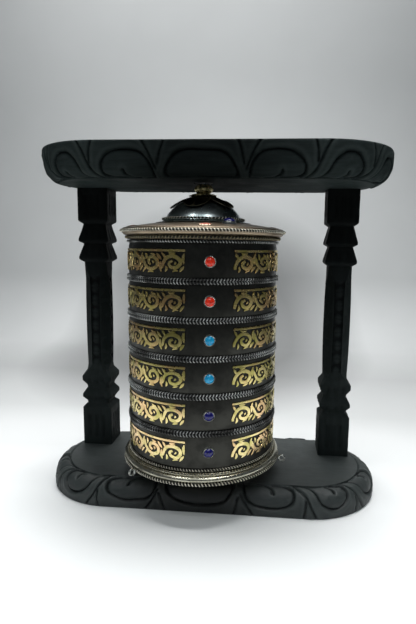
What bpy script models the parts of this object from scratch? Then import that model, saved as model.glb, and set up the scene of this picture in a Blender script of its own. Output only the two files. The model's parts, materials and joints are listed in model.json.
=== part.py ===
"""Prayer wheel: a metal drum that turns on a fixed rod in a carved wooden stand.

Frame: metres, +X right, +Y back, +Z up. The origin is the middle of the base
board's underside. Everything that turns hangs under the empty drum_axis.
"""
import math

import bmesh
import bpy

# Overall sizes of the stand
BASE_LENGTH = 0.298
TOP_LENGTH = 0.302
BOARD_WIDTH = 0.126
BASE_THICKNESS = 0.022
TOP_THICKNESS = 0.027
POST_LENGTH = 0.2505
BOARD_EDGE = 0.008          # upright outer edge, before the carved slope
BOARD_INSET = 0.014         # width of the carved slope round the flat face
POST_LEFT_X = -0.1175
POST_RIGHT_X = 0.1145
POST_Y = 0.027
POST_WIDTH = 0.0285

# The drum and its place on the boards
AXIS_X = -0.0073
AXIS_Y = -0.0185
DRUM_RADIUS = 0.0625        # outside of the plain shell
SHELL_WALL = 0.001
BAND_WALL = 0.0008
BAND_COUNT = 6
STONES_PER_BAND = 3
STONE_TURN = 13.0           # degrees from the front towards +X of the first stone
STONE_RADIUS = 0.0040
BEZEL_WALL = 0.0007
BEZEL_HEIGHT = 0.0018
BEZEL_ROOT = 0.0005         # how deep the cup is let into its strip
RIM_TOP_RADIUS = 0.0704
RIM_BOTTOM_RADIUS = 0.0692
DRUM_BOTTOM = 0.0350
BANDS_BOTTOM = 0.0464       # middle of the lowest twisted-wire ring
BANDS_TOP = 0.2234          # middle of the highest one
BAND_PITCH = (BANDS_TOP - BANDS_BOTTOM) / BAND_COUNT
LID_EDGE = 0.2310
WIRE_HEIGHT = 0.0028        # height of the single rings above and below all bands
SEPARATOR_HEIGHT = 0.0050   # height of the double rings between two bands
WIRE_DEPTH = 0.0022
PETALS = 5

# Rod, bearings and fasteners
ROD_RADIUS = 0.003
ROD_BOTTOM = 0.0103
SCREW_RADIUS = 0.00175
SCREW_HEAD = 0.004
SCREW_LENGTH = 0.046
SCREW_RECESS = 0.0005
NUT_RADIUS = 0.0065
NUT_HEIGHT = 0.005

NUT_RECESS = 0.009          # depth of the counterbore from the top face
NUT_ROOM = 0.0015           # clearance round the nut for a socket key
ROD_STAND = 0.0015          # how far the rod stands out of its nut
BUSH_RADIUS = 0.005
BUSH_FLANGE_RADIUS = 0.008
BUSH_FLANGE = 0.0015
CUP_HEIGHT = 0.008
CUP_RADIUS = 0.0065
CUP_FLANGE_RADIUS = 0.0125
CUP_FLANGE = 0.0018
WASHER_RADIUS = 0.0078
WASHER_THICKNESS = 0.0012
CUT_PAST = 0.004            # how far a cutter runs out past the face it opens

# Inside the drum
TUBE_BORE_GAP = 0.0015
TUBE_WALL = 0.001
TUBE_BOTTOM = 0.0410
TUBE_TOP = 0.2280
ROLL_BOTTOM = 0.0470
ROLL_TOP = 0.2200
ROLL_GAP = 0.004            # air between the paper roll and the shell
PLATE_WALL = 0.0012         # wall of the lid and of the bottom cover

# Places round the drum of the two eyelets, in degrees from the front towards +X
EYELET_LEFT = -42.5
EYELET_RIGHT = 80.0
EYELET_HEIGHT = 0.0375
EYELET_RADIUS = 0.0027
EYELET_WIRE = 0.0008

GAP = 0.0003                # clearance between pieces that touch
BORE = ROD_RADIUS + GAP
ROUND = 36                  # facets round the drum
SMALL_ROUND = 16            # facets round a small turned piece

SHELL_BOTTOM = BANDS_BOTTOM - WIRE_HEIGHT / 2
SHELL_TOP = BANDS_TOP + WIRE_HEIGHT / 2
UNDERSIDE = BASE_THICKNESS + POST_LENGTH
OVERALL_HEIGHT = UNDERSIDE + TOP_THICKNESS


def clear_scene():
    for item in list(bpy.data.objects):
        bpy.data.objects.remove(item, do_unlink=True)


def new_collection(name):
    group = bpy.data.collections.new(name)
    bpy.context.scene.collection.children.link(group)
    return group


def new_material(name, colour, roughness, metallic=0.0):
    material = bpy.data.materials.new(name)
    material.use_nodes = True
    shader = material.node_tree.nodes["Principled BSDF"]
    shader.inputs["Base Color"].default_value = (*colour, 1.0)
    shader.inputs["Roughness"].default_value = roughness
    shader.inputs["Metallic"].default_value = metallic
    return material


def new_empty(name, location):
    empty = bpy.data.objects.new(name, None)
    empty.location = location
    parts.objects.link(empty)
    return empty


def add_object(name, mesh, material, parent):
    """Link a mesh as a sub-part of its own, hung under its parent empty."""
    piece = bpy.data.objects.new(name, mesh)
    mesh.materials.append(material)
    parts.objects.link(piece)
    piece.parent = parent
    return piece


def add_cutter(name, mesh, parent):
    tool = bpy.data.objects.new(name, mesh)
    cutters.objects.link(tool)
    tool.parent = parent
    tool.hide_render = True
    tool.display_type = "WIRE"
    return tool


def boolean(piece, tool, operation="DIFFERENCE"):
    modifier = piece.modifiers.new(operation.title() + "_" + tool.name, "BOOLEAN")
    modifier.operation = operation
    modifier.solver = "EXACT"
    modifier.object = tool


def profile_mesh(name, points, closed):
    """A line of (radius, height) points in the XZ plane, for a Screw modifier."""
    mesh = bpy.data.meshes.new(name)
    edges = [(index, index + 1) for index in range(len(points) - 1)]
    if closed:
        edges.append((len(points) - 1, 0))
    mesh.from_pydata([(radius, 0.0, height) for radius, height in points], edges, [])
    return mesh


def turn(piece, steps):
    screw = piece.modifiers.new("Screw", "SCREW")
    screw.steps = steps
    screw.render_steps = steps
    screw.use_merge_vertices = True
    screw.merge_threshold = 0.00001
    screw.use_smooth_shade = True


def turned(name, points, material, parent, steps=ROUND, closed=False):
    """A turned piece: its profile runs down the outside, top to bottom."""
    piece = add_object(name, profile_mesh(name, points, closed), material, parent)
    turn(piece, steps)
    return piece


def turned_cutter(name, points, parent, steps=SMALL_ROUND):
    tool = add_cutter(name, profile_mesh(name, points, False), parent)
    turn(tool, steps)
    return tool


def sleeve(inner, outer, bottom, top):
    """The closed profile of a plain ring or tube."""
    return [(inner, top), (outer, top), (outer, bottom), (inner, bottom)]


def plug(radius, bottom, top):
    """The open profile of a solid cylinder."""
    return [(0.0, top), (radius, top), (radius, bottom), (0.0, bottom)]


def stadium(length, width, arc_steps=16):
    """Outline of a board with half-round ends, anticlockwise from above."""
    radius = width / 2
    centre = length / 2 - radius
    points = []
    for side, first_angle in ((1, -90.0), (-1, 90.0)):
        for step in range(arc_steps + 1):
            angle = math.radians(first_angle + 180.0 * step / arc_steps)
            points.append((side * centre + radius * math.cos(angle), radius * math.sin(angle)))
    return points


def board_mesh(name, length, thickness):
    """A board, flat face up: an upright edge, then a rounded slope in three steps."""
    shape = bmesh.new()
    corners = [shape.verts.new((x, y, 0.0)) for x, y in stadium(length, BOARD_WIDTH)]
    bottom = shape.faces.new(corners)
    wall = bmesh.ops.extrude_face_region(shape, geom=[bottom])["geom"]
    raised = [item for item in wall if isinstance(item, bmesh.types.BMVert)]
    bmesh.ops.translate(shape, verts=raised, vec=(0.0, 0.0, BOARD_EDGE))
    top = [item for item in wall if isinstance(item, bmesh.types.BMFace)]
    rise = thickness - BOARD_EDGE
    steps = 3
    for step in range(steps):
        start = math.radians(90.0 * step / steps)
        end = math.radians(90.0 * (step + 1) / steps)
        inwards = BOARD_INSET * (math.cos(start) - math.cos(end))
        upwards = rise * (math.sin(end) - math.sin(start))
        bmesh.ops.inset_region(shape, faces=top, thickness=inwards, use_even_offset=True)
        bmesh.ops.translate(shape, verts=top[0].verts, vec=(0.0, 0.0, upwards))
    bmesh.ops.recalc_face_normals(shape, faces=shape.faces)
    mesh = bpy.data.meshes.new(name)
    shape.to_mesh(mesh)
    shape.free()
    return mesh


def screw_profile(clearance, open_end=0.0):
    """A countersunk wood screw, head up at height 0, with an optional open run above it."""
    head = SCREW_HEAD + clearance
    shank = SCREW_RADIUS + clearance
    neck = -(SCREW_HEAD - SCREW_RADIUS) - clearance
    tip = -SCREW_LENGTH - clearance
    return [
        (0.0, open_end),
        (head, open_end),
        (head, -clearance - 0.0002),
        (shank, neck - 0.0002),
        (shank, tip + 0.004),
        (0.0, tip),
    ]


def make_boards():
    base_mesh = board_mesh("base_board", BASE_LENGTH, BASE_THICKNESS)
    base = add_object("base_board", base_mesh, black_wood, stand)
    top_mesh = board_mesh("top_board", TOP_LENGTH, TOP_THICKNESS)
    top = add_object("top_board", top_mesh, black_wood, stand)
    top.rotation_euler = (math.pi, 0.0, 0.0)
    top.location.z = OVERALL_HEIGHT
    return base, top


def post_profile():
    """Half the width of the square post at each height above its foot."""
    full = POST_WIDTH / 2
    neck = full - 0.0036
    shaft = full - 0.0030
    return [
        (full, POST_LENGTH - GAP),
        (full, 0.2200),
        (neck, 0.2170),
        (full, 0.2030),
        (full, 0.2010),
        (neck, 0.1985),
        (full, 0.1860),
        (full, 0.1840),
        (neck, 0.1810),
        (shaft, 0.1690),
        (shaft, 0.0800),
        (neck, 0.0755),
        (full, 0.0690),
        (full, 0.0650),
        (neck, 0.0570),
        (full, 0.0510),
        (full, 0.0480),
        (neck, 0.0415),
        (full, 0.0375),
        (full, GAP),
    ]


def make_post(name, place_x):
    """A square post is a profile turned in four steps, so its corners carry the profile."""
    corner = math.sqrt(2.0)
    points = [(half * corner, height) for half, height in post_profile()]
    points = [(0.0, points[0][1])] + points + [(0.0, points[-1][1])]
    post = turned(name, points, black_wood, stand, steps=4)
    post.location = (place_x, POST_Y, BASE_THICKNESS)
    post.rotation_euler.z = math.radians(45.0)
    return post


def make_screws(base, top, posts):
    """Two screws up through the base and two down through the top, into the posts."""
    for post, word in zip(posts, ("left", "right")):
        for board, end, height, flip in (
            (base, "base", SCREW_RECESS, math.pi),
            (top, "top", OVERALL_HEIGHT - SCREW_RECESS, 0.0),
        ):
            name = end + "_screw_" + word
            place = (post.location.x, POST_Y, height)
            screw = turned(name, screw_profile(0.0), steel, stand, steps=12)
            hole = turned_cutter(name + "_hole", screw_profile(GAP, CUT_PAST), stand, steps=12)
            for item in (screw, hole):
                item.location = place
                item.rotation_euler.x = flip
            boolean(board, hole)
            boolean(post, hole)


def make_rod(base, top):
    """The fixed rod: blind hole in the base, bush, counterbore and nut in the top board."""
    nut_floor = OVERALL_HEIGHT - NUT_RECESS
    nut_top = nut_floor + GAP + NUT_HEIGHT
    turned("axle", plug(ROD_RADIUS, ROD_BOTTOM, nut_top + ROD_STAND), steel, rod_axis, SMALL_ROUND)
    socket = plug(BORE, ROD_BOTTOM - GAP, BASE_THICKNESS + CUT_PAST)
    blind = turned_cutter("axle_socket", socket, rod_axis)
    boolean(base, blind)

    flange_top = UNDERSIDE + BUSH_FLANGE
    bush_profile = [
        (BORE, nut_floor),
        (BUSH_RADIUS, nut_floor),
        (BUSH_RADIUS, flange_top),
        (BUSH_FLANGE_RADIUS, flange_top),
        (BUSH_FLANGE_RADIUS, UNDERSIDE + GAP),
        (BORE, UNDERSIDE + GAP),
    ]
    turned("upper_bush", bush_profile, brass, rod_axis, SMALL_ROUND, closed=True)
    seat_profile = [
        (0.0, OVERALL_HEIGHT + CUT_PAST),
        (NUT_RADIUS + NUT_ROOM, OVERALL_HEIGHT + CUT_PAST),
        (NUT_RADIUS + NUT_ROOM, nut_floor),
        (BUSH_RADIUS + GAP, nut_floor),
        (BUSH_RADIUS + GAP, flange_top + GAP),
        (BUSH_FLANGE_RADIUS + GAP, flange_top + GAP),
        (BUSH_FLANGE_RADIUS + GAP, UNDERSIDE - CUT_PAST),
        (0.0, UNDERSIDE - CUT_PAST),
    ]
    boolean(top, turned_cutter("bush_seat", seat_profile, rod_axis))
    nut_bore = BORE / math.cos(math.radians(30.0))
    nut = sleeve(nut_bore, NUT_RADIUS, nut_floor + GAP, nut_top)
    turned("axle_nut", nut, steel, rod_axis, 6, closed=True)

    cup_top = BASE_THICKNESS + CUP_HEIGHT
    cup_profile = [
        (BORE, cup_top),
        (CUP_RADIUS, cup_top),
        (CUP_RADIUS + 0.0010, cup_top - 0.0015),
        (CUP_RADIUS + 0.0020, BASE_THICKNESS + CUP_FLANGE + 0.0004),
        (CUP_FLANGE_RADIUS, BASE_THICKNESS + CUP_FLANGE),
        (CUP_FLANGE_RADIUS, BASE_THICKNESS + GAP),
        (BORE, BASE_THICKNESS + GAP),
    ]
    turned("lower_pivot_cup", cup_profile, brass, rod_axis, 20, closed=True)
    washer = sleeve(BORE, WASHER_RADIUS, cup_top + GAP, cup_top + GAP + WASHER_THICKNESS)
    turned("lower_thrust_washer", washer, steel, rod_axis, 20, closed=True)


def make_shell():
    """Open tube, the inner tube round the rod, and the paper roll wound on it."""
    inner = DRUM_RADIUS - SHELL_WALL
    tube = sleeve(inner, DRUM_RADIUS, SHELL_BOTTOM, SHELL_TOP)
    turned("drum_shell", tube, dark_metal, drum, closed=True)
    core_bore = BORE + TUBE_BORE_GAP
    core = sleeve(core_bore, core_bore + TUBE_WALL, TUBE_BOTTOM, TUBE_TOP)
    turned("inner_tube", core, steel, drum, SMALL_ROUND, closed=True)
    roll_bore = core_bore + 2 * TUBE_WALL
    roll = sleeve(roll_bore, inner - ROLL_GAP, ROLL_BOTTOM, ROLL_TOP)
    turned("prayer_roll", roll, paper, drum, 24, closed=True)


def bezel_profile():
    """A short cup standing on the drum wall, before it is laid on its side."""
    outer = STONE_RADIUS + BEZEL_WALL
    return plug(outer, -BEZEL_ROOT, BEZEL_HEIGHT)


def lay_outwards(item, angle, radius, height):
    """Point an object's own +Z straight out of the drum at this angle."""
    item.rotation_euler = (math.radians(90.0), 0.0, angle)
    item.location = (radius * math.sin(angle), -radius * math.cos(angle), height)


def make_band(index):
    """One embossed strip with three bezel cups soldered on, and the stones in them."""
    middle = BANDS_TOP - BAND_PITCH * (index + 0.5)
    half = (BAND_PITCH - SEPARATOR_HEIGHT) / 2 - GAP
    inner = DRUM_RADIUS + GAP
    outer = inner + BAND_WALL
    strip = sleeve(inner, outer, middle - half, middle + half)
    band = turned("frieze_band_" + str(index + 1), strip, oxidised_brass, drum, closed=True)
    stone_material = (coral, turquoise, lapis)[index // 2]
    for turn_index in range(STONES_PER_BAND):
        angle = math.radians(STONE_TURN + 360.0 * turn_index / STONES_PER_BAND)
        label = str(index + 1) + "_" + str(turn_index + 1)
        cup = turned_cutter("bezel_" + label, bezel_profile(), drum, 12)
        lay_outwards(cup, angle, outer, middle)
        boolean(band, cup, "UNION")
        stone_profile = [
            (0.0, 0.0030),
            (STONE_RADIUS * 0.6, 0.0022),
            (STONE_RADIUS, 0.0005),
            (STONE_RADIUS, 0.0),
            (0.0, 0.0),
        ]
        stone = turned("stone_" + label, stone_profile, stone_material, drum, 10)
        lay_outwards(stone, angle, outer + BEZEL_HEIGHT + GAP, middle)


def make_wire_ring(name, middle, height, strands):
    """Twisted-wire rings lying side by side, as a hoop with one pointed ridge for each."""
    inner = DRUM_RADIUS + GAP
    points = [(inner, middle + height / 2)]
    for strand in range(strands):
        top = middle + height / 2 - height * strand / strands
        points.append((inner + WIRE_DEPTH, top - height / strands / 2))
        valley = inner + WIRE_DEPTH * 0.4 if strand < strands - 1 else inner
        points.append((valley, top - height / strands))
    return turned(name, points, dark_metal, drum, closed=True)


def make_wires():
    for index in range(1, BAND_COUNT):
        name = "separator_wire_" + str(index)
        make_wire_ring(name, BANDS_TOP - BAND_PITCH * index, SEPARATOR_HEIGHT, 2)
    make_wire_ring("top_separator_wire", BANDS_TOP, WIRE_HEIGHT, 1)
    make_wire_ring("bottom_separator_wire", BANDS_BOTTOM, WIRE_HEIGHT, 1)


def make_lid():
    """Conical top plate with a flared rim: it stands on the shell's end."""
    seat = SHELL_TOP + GAP
    profile = [
        (BORE + 0.0040, 0.2415),
        (0.0400, 0.2387),
        (RIM_TOP_RADIUS - 0.0030, 0.2340),
        (RIM_TOP_RADIUS - 0.0022, LID_EDGE),
        (0.0668, LID_EDGE - 0.0026),
        (0.0662, seat),
        (0.0600, seat),
        (0.0640, LID_EDGE - 0.0030),
        (0.0400, 0.2387 - PLATE_WALL),
        (BORE + 0.0040, 0.2415 - PLATE_WALL),
    ]
    turned("lid", profile, aged_silver, drum, closed=True)
    rope = [
        (RIM_TOP_RADIUS - 0.0022 + GAP, 0.2330),
        (RIM_TOP_RADIUS - 0.0008, 0.2332),
        (RIM_TOP_RADIUS, 0.2318),
        (RIM_TOP_RADIUS - 0.0008, 0.2306),
        (RIM_TOP_RADIUS - 0.0022 + GAP, 0.2306 + GAP),
    ]
    turned("rim_rope_top", rope, aged_silver, drum, closed=True)


def make_dome():
    """Hollow dome on the lid, the beaded ring round its foot, and the petal collar."""
    outside = [
        (0.0045, 0.2600),
        (0.0120, 0.2585),
        (0.0220, 0.2540),
        (0.0295, 0.2478),
        (0.0342, 0.2420),
        (0.0365, 0.2408),
        (0.0410, 0.2402),
        (0.0410, 0.2394),
    ]
    inside = [
        (0.0335, 0.2402),
        (0.0285, 0.2466),
        (0.0212, 0.2529),
        (0.0118, 0.2573),
        (0.0045, 0.2588),
    ]
    turned("dome", outside + inside, blued_metal, drum, closed=True)
    bead = [
        (0.0366, 0.2424),
        (0.0380, 0.2424),
        (0.0384, 0.2411),
        (0.0366, 0.2413),
    ]
    turned("dome_bead_ring", bead, aged_silver, drum, closed=True)


def petal_edge(angle, valley, tip, count):
    """Radius of a ring of pointed petals at an angle, largest at each petal's tip."""
    phase = (angle * count / (2.0 * math.pi)) % 1.0
    distance = abs(phase - 0.5) * 2.0
    return valley + (tip - valley) * (1.0 - distance) ** 0.8


def petal_cap(name, outside, thickness, valley, tip, first_angle, material):
    """A domed cap whose lower edge runs out into pointed petals.

    outside is a function from radius to height. Each ray of the cap runs from
    the bore to the petal edge at its angle, so the cap is a loft with an edge
    that no turned profile gives.
    """
    rays = PETALS * 6
    rings = 4
    shape = bmesh.new()
    levels = []
    for drop in (0.0, thickness):
        for ring in range(rings + 1):
            row = []
            for ray in range(rays):
                angle = 2.0 * math.pi * ray / rays
                edge = petal_edge(angle, valley, tip, PETALS)
                radius = BORE + (edge - BORE) * ring / rings
                heading = angle + first_angle - math.pi / PETALS
                place = (radius * math.sin(heading), -radius * math.cos(heading))
                row.append(shape.verts.new((*place, outside(radius) - drop)))
            levels.append(row)
    upper = levels[:rings + 1]
    lower = levels[rings + 1:]
    circuit = upper + lower[::-1] + [upper[0]]
    for first, second in zip(circuit[:-1], circuit[1:]):
        for ray in range(rays):
            after = (ray + 1) % rays
            shape.faces.new((first[ray], first[after], second[after], second[ray]))
    bmesh.ops.recalc_face_normals(shape, faces=shape.faces)
    mesh = bpy.data.meshes.new(name)
    shape.to_mesh(mesh)
    shape.free()
    mesh.shade_smooth()
    return add_object(name, mesh, material, drum)


def collar_height(radius):
    return 0.2628 - 0.0090 * (radius / 0.0270) ** 3.5


def flower_height(radius):
    return 0.2639 - 0.0002 * (radius / 0.0105) ** 2


def make_finial():
    first_petal = math.radians(-10.0)
    petal_cap("lotus_collar", collar_height, 0.0008, 0.0190, 0.0270, first_petal, dark_metal)
    petal_cap("finial_flower", flower_height, 0.0007, 0.0070, 0.0105, first_petal, brass)
    radius = 0.0078
    half_height = 0.0035
    middle = 0.2676
    start = math.asin(BORE / radius)
    steps = 7
    profile = []
    for step in range(steps + 1):
        angle = start + (math.pi - 2.0 * start) * step / steps
        profile.append((radius * math.sin(angle), middle + half_height * math.cos(angle)))
    profile[-1] = (BORE + 0.0008, profile[-1][1])
    profile[0] = (BORE, profile[0][1])
    profile.append((BORE, profile[-1][1]))
    turned("finial_ball", profile, gold, drum, 20, closed=True)


def make_bottom():
    """Flared bottom cover with its hub, the rope round its edge and two wire eyelets."""
    seat = SHELL_BOTTOM - GAP
    floor = DRUM_BOTTOM + 0.0004
    profile = [
        (0.0600, seat),
        (0.0658, seat),
        (0.0658, seat - 0.0024),
        (0.0682, seat - 0.0042),
        (RIM_BOTTOM_RADIUS - 0.0012, seat - 0.0062),
        (RIM_BOTTOM_RADIUS - 0.0020, floor),
        (BORE, floor),
        (BORE, floor + 0.0040),
        (BORE + 0.0040, floor + 0.0040),
        (BORE + 0.0045, floor + PLATE_WALL),
        (0.0640, floor + PLATE_WALL),
        (0.0640, seat - 0.0030),
    ]
    turned("bottom_cover", profile, aged_silver, drum, closed=True)
    rope = [
        (RIM_BOTTOM_RADIUS - 0.0012 + GAP, 0.0382),
        (RIM_BOTTOM_RADIUS, 0.0368),
        (RIM_BOTTOM_RADIUS - 0.0006, DRUM_BOTTOM),
        (RIM_BOTTOM_RADIUS - 0.0020 + GAP, DRUM_BOTTOM),
        (RIM_BOTTOM_RADIUS - 0.0012 + GAP, 0.0372),
    ]
    turned("rim_rope_bottom", rope, aged_silver, drum, closed=True)


def make_loop(name, turn_angle):
    """A small wire eyelet standing out from the rim, its hole facing along the rim."""
    bpy.ops.mesh.primitive_torus_add(
        major_segments=14, minor_segments=6, major_radius=EYELET_RADIUS, minor_radius=EYELET_WIRE
    )
    loop = bpy.context.object
    loop.name = name
    loop.data.materials.append(steel)
    for group in list(loop.users_collection):
        group.objects.unlink(loop)
    parts.objects.link(loop)
    loop.parent = drum
    angle = math.radians(turn_angle)
    reach = RIM_BOTTOM_RADIUS + EYELET_RADIUS + EYELET_WIRE + GAP
    loop.location = (reach * math.sin(angle), -reach * math.cos(angle), EYELET_HEIGHT)
    loop.rotation_euler = (math.radians(90.0), 0.0, angle + math.radians(90.0))


clear_scene()
parts = new_collection("prayer_wheel")
cutters = new_collection("cutters")

black_wood = new_material("black_wood", (0.012, 0.013, 0.014), 0.45)
dark_metal = new_material("dark_metal", (0.045, 0.042, 0.038), 0.40, 0.9)
blued_metal = new_material("blued_metal", (0.060, 0.075, 0.085), 0.25, 0.9)
oxidised_brass = new_material("oxidised_brass", (0.40, 0.30, 0.12), 0.40, 0.9)
aged_silver = new_material("aged_silver", (0.50, 0.47, 0.38), 0.35, 1.0)
brass = new_material("brass", (0.55, 0.40, 0.16), 0.35, 1.0)
gold = new_material("gold", (0.70, 0.50, 0.18), 0.25, 1.0)
steel = new_material("steel", (0.50, 0.50, 0.50), 0.35, 1.0)
coral = new_material("coral", (0.75, 0.06, 0.03), 0.20)
turquoise = new_material("turquoise", (0.03, 0.30, 0.50), 0.25)
lapis = new_material("lapis", (0.02, 0.02, 0.25), 0.20)
paper = new_material("paper", (0.65, 0.58, 0.42), 0.80)

stand = new_empty("stand", (0.0, 0.0, 0.0))
rod_axis = new_empty("rod_axis", (AXIS_X, AXIS_Y, 0.0))
drum = new_empty("drum_axis", (AXIS_X, AXIS_Y, 0.0))

base_board, top_board = make_boards()
post_pair = (make_post("post_left", POST_LEFT_X), make_post("post_right", POST_RIGHT_X))
make_screws(base_board, top_board, post_pair)
make_rod(base_board, top_board)
make_shell()
for band_index in range(BAND_COUNT):
    make_band(band_index)
make_wires()
make_lid()
make_dome()
make_finial()
make_bottom()
make_loop("rim_loop_left", EYELET_LEFT)
make_loop("rim_loop_right", EYELET_RIGHT)
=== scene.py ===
"""The looks of the prayer wheel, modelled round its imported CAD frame.

Shapes are worked out in millimetres, and add_mesh() turns them into metres.
Places come from the frame: every turning piece is built about the drum's axis.
"""

import json
from math import atan, cos, pi, radians, sin, sqrt

import bmesh
import bpy
import numpy as np
from mathutils import Euler, Matrix, Vector
from mathutils.geometry import delaunay_2d_cdt


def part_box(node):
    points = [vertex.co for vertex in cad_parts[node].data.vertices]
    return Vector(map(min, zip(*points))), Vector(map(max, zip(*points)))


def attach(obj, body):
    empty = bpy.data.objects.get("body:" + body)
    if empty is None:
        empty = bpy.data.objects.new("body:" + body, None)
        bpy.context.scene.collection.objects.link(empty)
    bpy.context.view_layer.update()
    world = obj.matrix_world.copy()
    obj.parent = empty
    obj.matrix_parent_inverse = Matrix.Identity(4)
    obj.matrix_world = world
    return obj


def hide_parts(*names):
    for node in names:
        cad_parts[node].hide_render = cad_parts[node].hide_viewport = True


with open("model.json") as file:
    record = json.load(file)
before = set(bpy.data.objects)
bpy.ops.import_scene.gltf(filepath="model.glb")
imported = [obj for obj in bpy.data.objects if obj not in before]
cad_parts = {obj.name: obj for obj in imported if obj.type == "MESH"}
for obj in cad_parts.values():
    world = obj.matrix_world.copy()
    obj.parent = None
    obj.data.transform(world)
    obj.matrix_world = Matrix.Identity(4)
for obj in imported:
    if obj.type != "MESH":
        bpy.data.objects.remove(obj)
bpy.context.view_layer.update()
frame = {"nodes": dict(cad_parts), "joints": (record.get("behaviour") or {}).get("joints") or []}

MM = 0.001
TURN = 2 * pi
UP = Vector((0, 0, 1))
joint = frame["joints"][0]
AXIS_X = joint["pos_m"][0] / MM
AXIS_Y = joint["pos_m"][1] / MM
ROUND = 160  # segments round the drum
CATMULL_ROM = np.array([(0, 2, 0, 0), (-1, 0, 1, 0), (2, -5, 4, -1), (-1, 3, -3, 1)]) / 2

# Where the viewer stands: place in millimetres, then pitch, roll and turn in degrees
CAMERA_PLACE = (53.44, -431.75, 220.14)
CAMERA_ANGLES = (-7.8, 0.81, 5.108)
CAMERA_LENS = 27.651
CAMERA_SHIFT = -0.03526


# ---- measuring

def corners(node):
    """Lowest and highest corner of a CAD node, in millimetres."""
    low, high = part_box(node)
    return np.array(low) / MM, np.array(high) / MM


def centre(node):
    low, high = corners(node)
    return (low + high) / 2


def half_size(node):
    low, high = corners(node)
    return (high - low) / 2


def node_radius(node):
    return half_size(node)[0]


def about_axis(angle, radius, height):
    """Points by their angle from the front towards +X, their radius and their height."""
    x = AXIS_X + radius * np.sin(angle)
    y = AXIS_Y - radius * np.cos(angle)
    return np.stack(np.broadcast_arrays(x, y, height), axis=-1)


def circle(radius, count, x=0, y=0):
    """Evenly spaced (x, y) places round a circle."""
    angles = TURN * np.arange(count) / count
    return list(zip(x + radius * np.cos(angles), y + radius * np.sin(angles)))


# ---- mesh tools

class Shape:
    """Points and faces gathered from one or several parts into one piece."""

    def __init__(self, points=(), faces=(), value=0):
        self.points, self.faces, self.slots, self.values = [], [], [], []
        self.add(points, faces, value=value)

    def add(self, points, faces, slot=0, value=0):
        """Append a part, with its material slot and its value or values for a point attribute."""
        start = len(self.points)
        points = np.asarray(points, float).reshape(-1, 3)
        self.points.extend(points.tolist())
        self.faces.extend([tuple(int(i) + start for i in face) for face in faces])
        self.slots.extend([slot] * len(faces))
        self.values.extend(np.broadcast_to(np.ravel(value), (len(points),)).tolist())

    def join(self, other):
        self.add(other.points, other.faces, value=other.values)


def add_object(name, data):
    added = bpy.data.objects.new(name, data)
    bpy.context.scene.collection.objects.link(added)
    return added


def add_mesh(name, shape, materials, node=None, body="drum", sharp=40, attribute=None, weld=False):
    """Make an object from a shape, and hang it on its body in the place of its CAD node.

    attribute names the point attribute that takes the shape's values.
    """
    mesh = bpy.data.meshes.new(name)
    mesh.from_pydata((np.array(shape.points) * MM).tolist(), [], shape.faces)
    if attribute:
        layer = mesh.attributes.new(attribute, "FLOAT", "POINT")
        layer.data.foreach_set("value", np.array(shape.values, np.float32))
    for item in materials:
        mesh.materials.append(item)
    mesh.polygons.foreach_set("material_index", np.array(shape.slots, np.int32))
    if weld:
        welded = bmesh.new()
        welded.from_mesh(mesh)
        bmesh.ops.remove_doubles(welded, verts=welded.verts, dist=0.000004)
        bmesh.ops.recalc_face_normals(welded, faces=welded.faces)
        welded.to_mesh(mesh)
        welded.free()
    mesh.validate()
    mesh.shade_smooth()
    mesh.set_sharp_from_angle(angle=radians(sharp))
    piece = add_object(name, mesh)
    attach(piece, body)
    if node:
        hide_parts(node)


def share(value):
    """A value held between 0 and 1."""
    return np.clip(value, 0, 1)


def grid_faces(rows, columns, close_rows=False, close_columns=False):
    """Quads over a grid of points stored row by row."""
    faces = []
    for row in range(rows if close_rows else rows - 1):
        next_row = (row + 1) % rows
        for column in range(columns if close_columns else columns - 1):
            after = (column + 1) % columns
            faces.append((row * columns + column, row * columns + after,
                          next_row * columns + after, next_row * columns + column))
    return faces


def smooth_line(points, steps=5):
    """A Catmull-Rom curve through the points; a repeated point makes a corner."""
    points = np.asarray(points, float)
    padded = np.vstack([2 * points[0] - points[1], points, 2 * points[-1] - points[-2]])
    powers = (np.arange(steps) / steps)[:, None] ** np.arange(4)
    line = []
    for index in range(1, len(padded) - 2):
        before, start, end, after = padded[index - 1:index + 3]
        if np.allclose(start, end):
            continue
        if np.allclose(before, start):
            before = 2 * start - end
        if np.allclose(after, end):
            after = 2 * end - start
        line.extend(powers @ CATMULL_ROM @ [before, start, end, after])
    return np.array([*line, points[-1]])


def revolve(profile, closed=False):
    """A profile of (radius, height) turned round the drum's axis."""
    radius, height = np.array(profile, float).T[:, :, None]
    points = about_axis(TURN * np.arange(ROUND) / ROUND, radius, height)
    return Shape(points, grid_faces(len(profile), ROUND, closed, True))


def hung(top, profile):
    """A profile of (radius, drop below the top) as (radius, height)."""
    return [(radius, top - drop) for radius, drop in profile]


def turned(name, profile, material, node, sharp=30, steps=6):
    """A turned piece with a smooth profile."""
    add_mesh(name, revolve(smooth_line(profile, steps)), [material], node, sharp=sharp, weld=True)


# ---- ropes

WIRE_STEPS = 8  # steps along each turn of a rope's wire
WIRE_SIDES = 8
WIRE_SHARE = 0.215  # the wire's radius, as a part of its rope's diameter
WIRE_FLAT = 0.921  # the wire's width along the rope, as a part of its height
# The dark core is painted shade in the middle of a rope, seen between the wires' turns
CORE_SHARE = 0.33  # radius of the dark core that shows between the turns
ROPE_NEST = 0.96  # spacing of ropes that lie side by side, in diameters


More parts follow.
